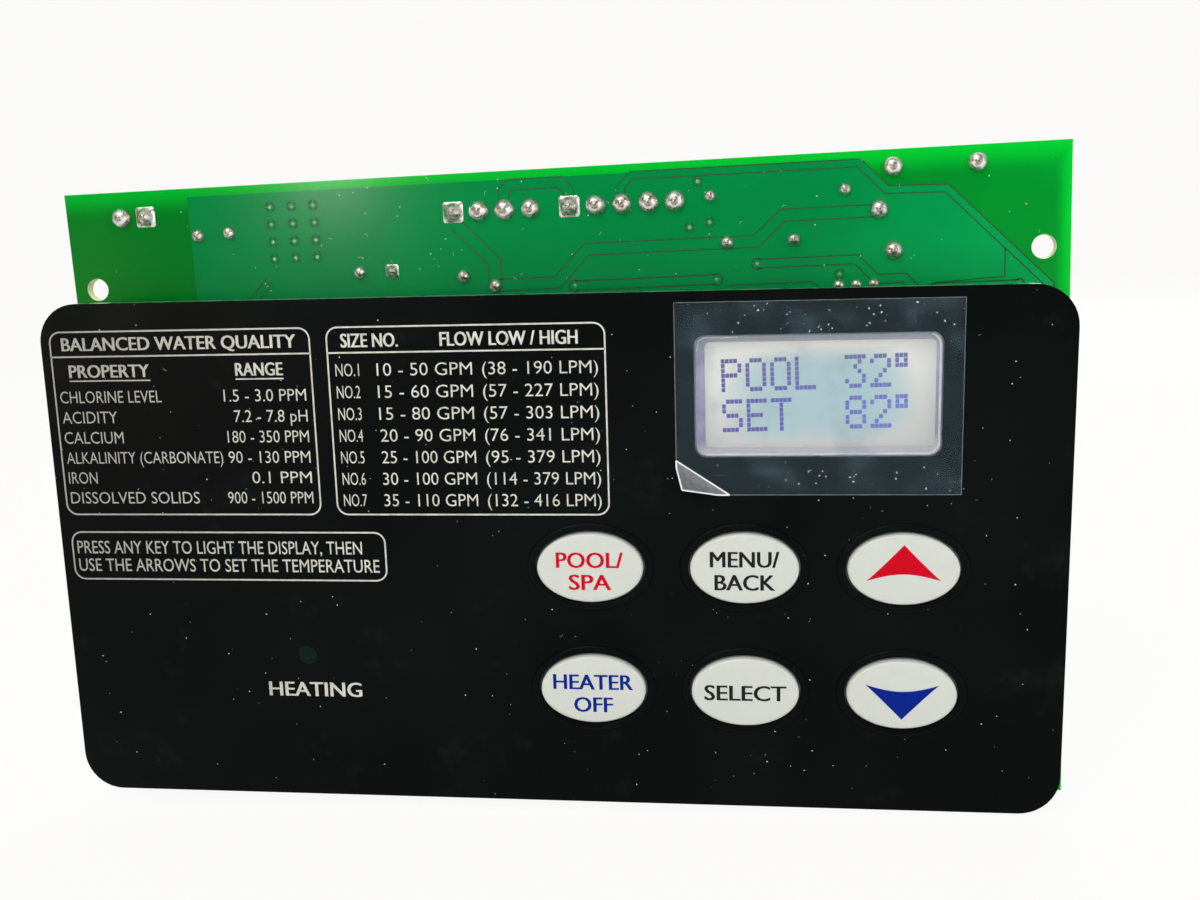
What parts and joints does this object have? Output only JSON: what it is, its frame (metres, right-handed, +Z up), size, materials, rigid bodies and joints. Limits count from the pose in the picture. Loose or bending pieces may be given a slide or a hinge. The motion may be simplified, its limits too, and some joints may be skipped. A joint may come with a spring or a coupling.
{
  "type": "pool heater control panel",
  "caption": "Control panel of a gas pool heater: a circuit board carrying a black keypad plate on standoffs, with a text display, oval push keys and a status light.",
  "frame": {"origin": "centre of the main board's four mounting holes, on the board's rear face", "axes": "+X to the right as the user sees the keypad, +Z up, +Y towards the rear, so the keypad faces -Y"},
  "size_m": [0.1549, 0.0309, 0.0988],
  "materials": {
    "protective_film": "clear film with dust and scuffs",
    "keypad_film": "fine satin texture",
    "window_lens": "clear",
    "light_window": "dark translucent",
    "plate": "milled",
    "lilac_frame": "translucent",
    "key_cap": "satin",
    "plunger": "moulded",
    "switch_body": "moulded",
    "switch_cover": "stamped",
    "bezel": "satin black",
    "display_face": "polarizer over lit glass",
    "display_glass": "clear",
    "light_guide": "milky",
    "contact_rubber": "striped",
    "display_board": "solder mask",
    "chip_epoxy": "moulded",
    "header_strip": "moulded",
    "header_pin": "plated",
    "status_light": "diffused",
    "nylon": "moulded",
    "standoff": "nickel plated",
    "screw": "zinc plated",
    "circuit_board": "green solder mask over copper",
    "solder": "tinned",
    "tinned_wire": "tinned",
    "relay_case": "moulded",
    "relay_base": "moulded",
    "coil": "enamelled wire",
    "capacitor_can": "shrink sleeve over aluminium",
    "seal_rubber": "moulded",
    "fuse_glass": "clear",
    "fuse_cap": "nickel plated",
    "crystal_can": "drawn",
    "resistor": "lacquered",
    "setting_switch": "moulded",
    "slider": "moulded",
    "trimmer": "moulded",
    "rotor": "moulded"
  },
  "bodies": {
    "panel": {"backlight": "light_guide", "capacitor_cans": "capacitor_can", "capacitor_seals": "seal_rubber", "component_leads": "tinned_wire", "contact_strips": "contact_rubber", "contrast_trimmer": "trimmer", "crystal": "crystal_can", "display_bezel": "bezel", "display_board": "display_board", "display_chips": "chip_epoxy", "display_gasket": "lilac_frame", "display_glass": "display_glass", "display_header": "header_strip", "display_header_pins": "header_pin", "display_polarizer": "display_face", "fuse_caps": "fuse_cap", "fuse_glass": "fuse_glass", "graphic_overlay": "keypad_film", "keypad_plate": "plate", "led_window": "light_window", "main_board": "circuit_board", "plate_screws": "screw", "plug_headers": "nylon", "plug_pins": "tinned_wire", "processor": "chip_epoxy", "processor_leads": "tinned_wire", "regulator": "chip_epoxy", "regulator_tab": "tinned_wire", "relay_bases": "relay_base", "relay_cases": "relay_case", "relay_coils": "coil", "relay_diodes": "chip_epoxy", "resistors": "resistor", "setting_switch": "setting_switch", "solder_joints": "solder", "standoff_screws": "screw", "standoffs": "standoff", "status_light": "status_light", "status_light_spacer": "nylon", "switch_bodies": "switch_body", "switch_covers": "switch_cover", "transistor": "chip_epoxy", "window_film": "protective_film", "window_lens": "window_lens"},
    "key_pool_spa": {"key_pool_spa": "key_cap", "plunger_pool_spa": "plunger"},
    "key_menu_back": {"key_menu_back": "key_cap", "plunger_menu_back": "plunger"},
    "key_up": {"key_up": "key_cap", "plunger_up": "plunger"},
    "key_heater_off": {"key_heater_off": "key_cap", "plunger_heater_off": "plunger"},
    "key_select": {"key_select": "key_cap", "plunger_select": "plunger"},
    "key_down": {"key_down": "key_cap", "plunger_down": "plunger"},
    "setting_slider_1": {"setting_slider_1": "slider"},
    "setting_slider_2": {"setting_slider_2": "slider"},
    "setting_slider_3": {"setting_slider_3": "slider"},
    "contrast_rotor": {"contrast_rotor": "rotor"}
  },
  "joints": [
    {"name": "press_pool_spa", "type": "slide", "parent": "panel", "child": "key_pool_spa", "axis": [0, 1, 0], "range_m": [0, 0.00035], "stiffness_N_per_m": 4500},
    {"name": "press_menu_back", "type": "slide", "parent": "panel", "child": "key_menu_back", "axis": [0, 1, 0], "range_m": [0, 0.00035], "stiffness_N_per_m": 4500},
    {"name": "press_up", "type": "slide", "parent": "panel", "child": "key_up", "axis": [0, 1, 0], "range_m": [0, 0.00035], "stiffness_N_per_m": 4500},
    {"name": "press_heater_off", "type": "slide", "parent": "panel", "child": "key_heater_off", "axis": [0, 1, 0], "range_m": [0, 0.00035], "stiffness_N_per_m": 4500},
    {"name": "press_select", "type": "slide", "parent": "panel", "child": "key_select", "axis": [0, 1, 0], "range_m": [0, 0.00035], "stiffness_N_per_m": 4500},
    {"name": "press_down", "type": "slide", "parent": "panel", "child": "key_down", "axis": [0, 1, 0], "range_m": [0, 0.00035], "stiffness_N_per_m": 4500},
    {"name": "slide_setting_1", "type": "slide", "parent": "panel", "child": "setting_slider_1", "axis": [0, 0, 1], "range_m": [0, 0.0021]},
    {"name": "slide_setting_2", "type": "slide", "parent": "panel", "child": "setting_slider_2", "axis": [0, 0, 1], "range_m": [0, 0.0021]},
    {"name": "slide_setting_3", "type": "slide", "parent": "panel", "child": "setting_slider_3", "axis": [0, 0, 1], "range_m": [0, 0.0021]},
    {"name": "turn_contrast", "type": "hinge", "parent": "panel", "child": "contrast_rotor", "pos_m": [0.014, 0.0045, 0.01], "axis": [0, 1, 0], "range_deg": [-105, 105]}
  ]
}
